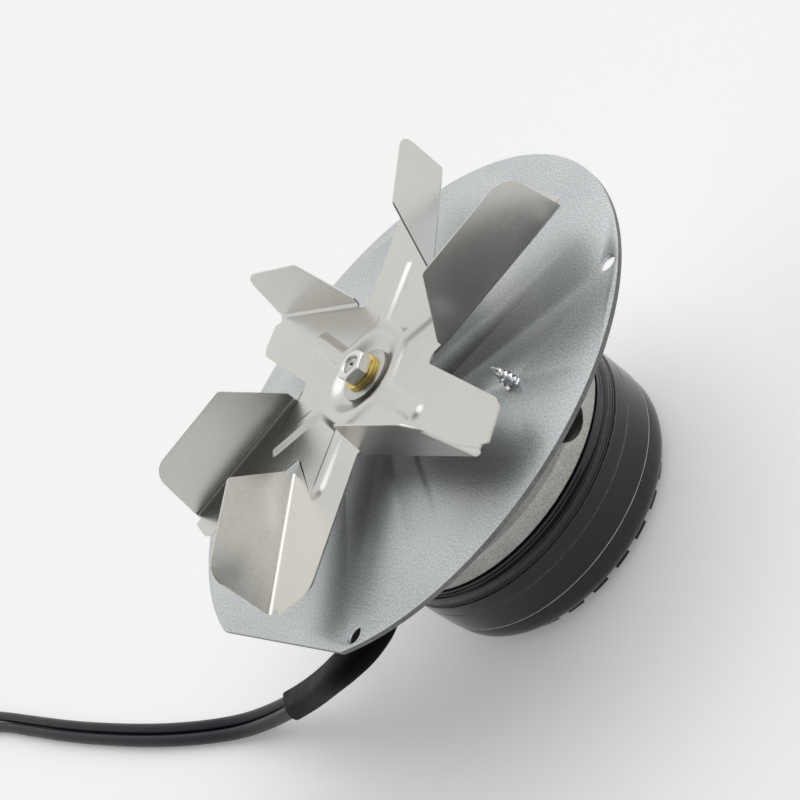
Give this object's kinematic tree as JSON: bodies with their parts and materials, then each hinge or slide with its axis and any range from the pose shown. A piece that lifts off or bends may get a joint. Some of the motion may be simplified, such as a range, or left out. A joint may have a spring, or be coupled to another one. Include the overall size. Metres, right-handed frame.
{
  "type": "centrifugal fan",
  "caption": "Hot-gas exhaust fan: open folded paddle impeller on a round mounting plate with a flat, external-rotor motor behind the plate and sleeved leads.",
  "frame": {"origin": "centre of the mounting plate's front face, on the shaft's axis", "axes": "+Z along the shaft from the motor towards the impeller, -Y towards the plate's flat, +X to the right seen from the impeller with the flat downwards"},
  "size_m": [0.5252, 0.2489, 0.1076],
  "materials": {
    "galvanised_steel": "galvanised sheet, satin",
    "stainless_sheet": "pickled stainless sheet, satin",
    "bright_zinc": "bright zinc plated",
    "yellow_zinc": "yellow passivated zinc",
    "turned_steel": "turned, bare",
    "bearing_steel": "ground",
    "spring_steel": "black oxide",
    "tinned_brass": "tinned",
    "cast_aluminium": "as cast, matte",
    "black_drum": "black, semi-gloss",
    "black_cover": "cast, painted black",
    "stack_steel": "stamped laminations",
    "cage_aluminium": "die cast",
    "slot_insulator": "moulded",
    "copper_wire": "enamelled copper wire",
    "terminal_plastic": "moulded",
    "black_sleeve": "matte",
    "black_jacket": "soft sheen",
    "connector_plastic": "moulded nylon"
  },
  "bodies": {
    "motor_base": {"mounting_plate": "galvanised_steel", "flange_screws": "bright_zinc", "earth_screw": "bright_zinc", "earth_tab": "tinned_brass", "stator_flange": "cast_aluminium", "front_bearing_outer_ring": "bearing_steel", "rear_bearing_outer_ring": "bearing_steel", "bearing_circlip": "spring_steel", "stator_core": "stack_steel", "insulator_front": "slot_insulator", "insulator_rear": "slot_insulator", "windings": "copper_wire", "terminal_block": "terminal_plastic", "cable_sleeve": "black_sleeve", "power_cable": "black_jacket", "sensor_cable": "black_jacket", "power_connector": "connector_plastic", "sensor_connector": "connector_plastic"},
    "rotor": {"rotor_drum": "black_drum", "rotor_cover": "black_cover", "rotor_core": "stack_steel", "rotor_cage": "cage_aluminium", "shaft": "turned_steel", "shaft_clip": "spring_steel", "front_bearing_inner_ring": "bearing_steel", "rear_bearing_inner_ring": "bearing_steel", "front_bearing_balls": "bearing_steel", "rear_bearing_balls": "bearing_steel", "lower_clamp_washer": "turned_steel", "impeller": "stainless_sheet", "upper_clamp_washer": "turned_steel", "flat_washer": "yellow_zinc", "spring_washer": "yellow_zinc", "hub_nut": "bright_zinc"}
  },
  "joints": [
    {"name": "impeller_spin", "type": "hinge", "parent": "motor_base", "child": "rotor", "pos_m": [0, 0, 0], "axis": [0, 0, 1], "continuous": true}
  ]
}
